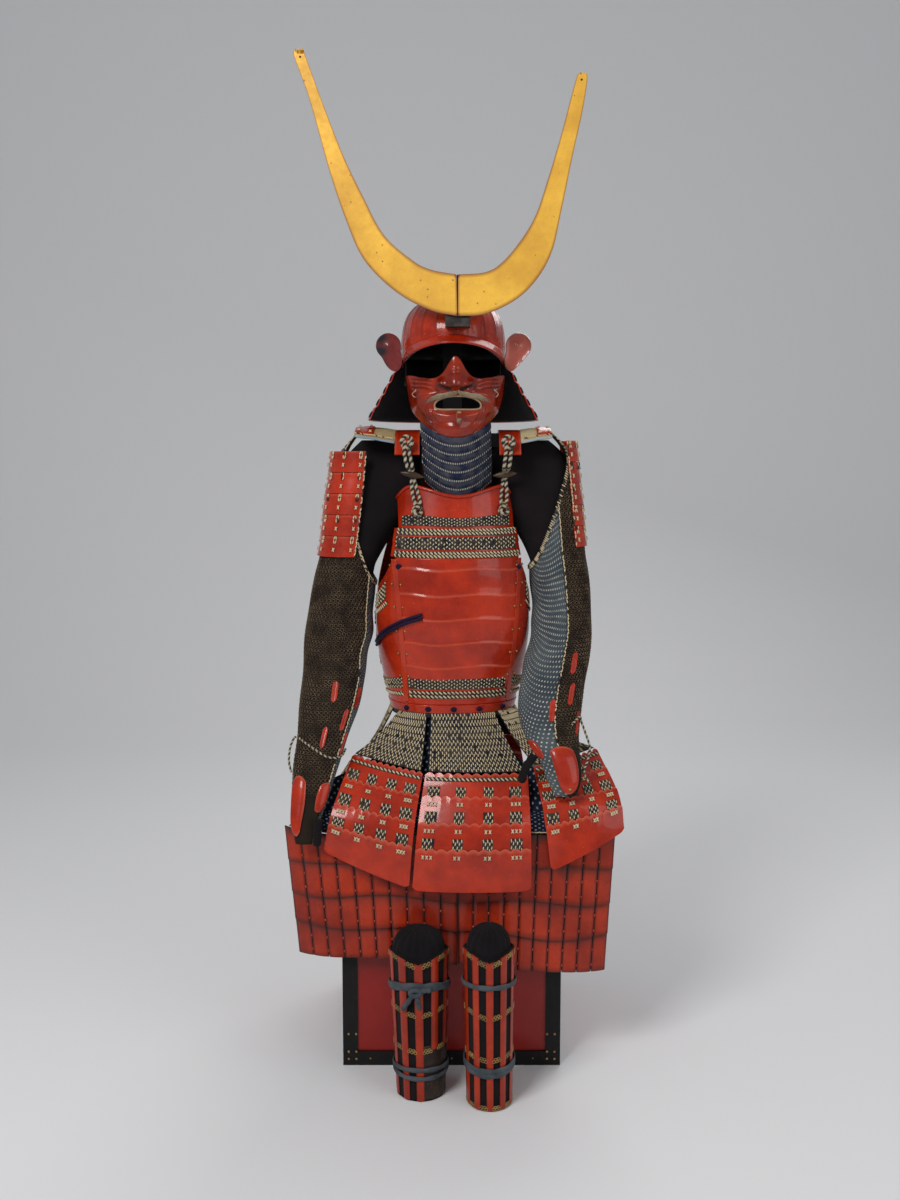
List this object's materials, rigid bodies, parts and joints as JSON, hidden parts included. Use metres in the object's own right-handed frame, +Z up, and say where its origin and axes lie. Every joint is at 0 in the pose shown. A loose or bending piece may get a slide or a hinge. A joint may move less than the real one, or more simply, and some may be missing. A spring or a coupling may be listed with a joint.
{
  "type": "samurai armour on its storage box stand",
  "caption": "Full lacquered armour with crested helmet, mask, cuirass, sleeves, laced skirt, thigh and shin guards, set up on its square storage box.",
  "frame": {"origin": "middle of the storage box's underside, on the floor", "axes": "+Z up, -Y towards the armour's front, +X towards the armour's left hand"},
  "size_m": [0.6182, 0.6134, 1.8171],
  "materials": {
    "lacquer": "glossy red lacquer",
    "dark_lacquer": "worn brown-red lacquer",
    "gold_leaf": "gold leaf with soft wear",
    "braid": "cream and navy flat braid",
    "navy_lacing": "close navy lacing with white dots",
    "purple_cord": "round silk cord",
    "mail_cloth": "dark ring mail over blue cloth",
    "dark_cloth": "matt",
    "blue_cloth": "matt, stitched with pale thread",
    "brocade": "worn brocade",
    "iron": "blackened",
    "post_wood": "plain",
    "box_red": "satin lacquer",
    "box_black": "satin lacquer"
  },
  "bodies": {
    "root": {"box_frame": "box_black", "box_case": "box_red", "box_lid": "box_black", "stand_post": "post_wood", "helmet_bowl": "lacquer", "helmet_brow": "lacquer", "neck_guard": "lacquer", "ear_left": "lacquer", "ear_right": "lacquer", "crest_left": "gold_leaf", "crest_right": "gold_leaf", "crest_holder": "iron", "mask": "lacquer", "throat_guard": "navy_lacing", "breast_top": "lacquer", "breast_upper": "lacquer", "breast_plate": "lacquer", "side_plate_left": "lacquer", "side_plate_right": "lacquer", "back_plate": "lacquer", "waist_lame": "lacquer", "shoulder_strap_left": "lacquer", "shoulder_strap_right": "lacquer", "shoulder_wing_left": "brocade", "shoulder_wing_right": "brocade", "toggle_left": "braid", "toggle_right": "braid", "upper_sleeve_left": "dark_cloth", "upper_sleeve_right": "dark_cloth", "sleeve_left": "mail_cloth", "sleeve_right": "mail_cloth", "forearm_left": "mail_cloth", "forearm_right": "mail_cloth", "shoulder_guard_left": "lacquer", "shoulder_guard_right": "lacquer", "hand_plate_left": "lacquer", "hand_plate_right": "lacquer", "thumb_plate_left": "lacquer", "thumb_plate_right": "lacquer", "thumb_stall_left": "dark_cloth", "thumb_stall_right": "dark_cloth", "thigh_guard_left": "dark_lacquer", "thigh_guard_right": "dark_lacquer", "shin_guard_left": "dark_lacquer", "shin_guard_right": "dark_lacquer", "shin_pad_left": "dark_cloth", "shin_pad_right": "dark_cloth", "tasset_front": "lacquer", "tasset_front_left": "lacquer", "tasset_front_right": "lacquer", "tasset_side_left": "lacquer", "tasset_side_right": "lacquer", "tasset_back_left": "lacquer", "tasset_back_right": "lacquer", "skirt_lacing": "braid", "thigh_apron": "blue_cloth", "wrist_cord_left": "braid", "wrist_cord_right": "braid", "side_cord_upper": "purple_cord", "side_cord_lower": "purple_cord"}
  },
  "joints": []
}
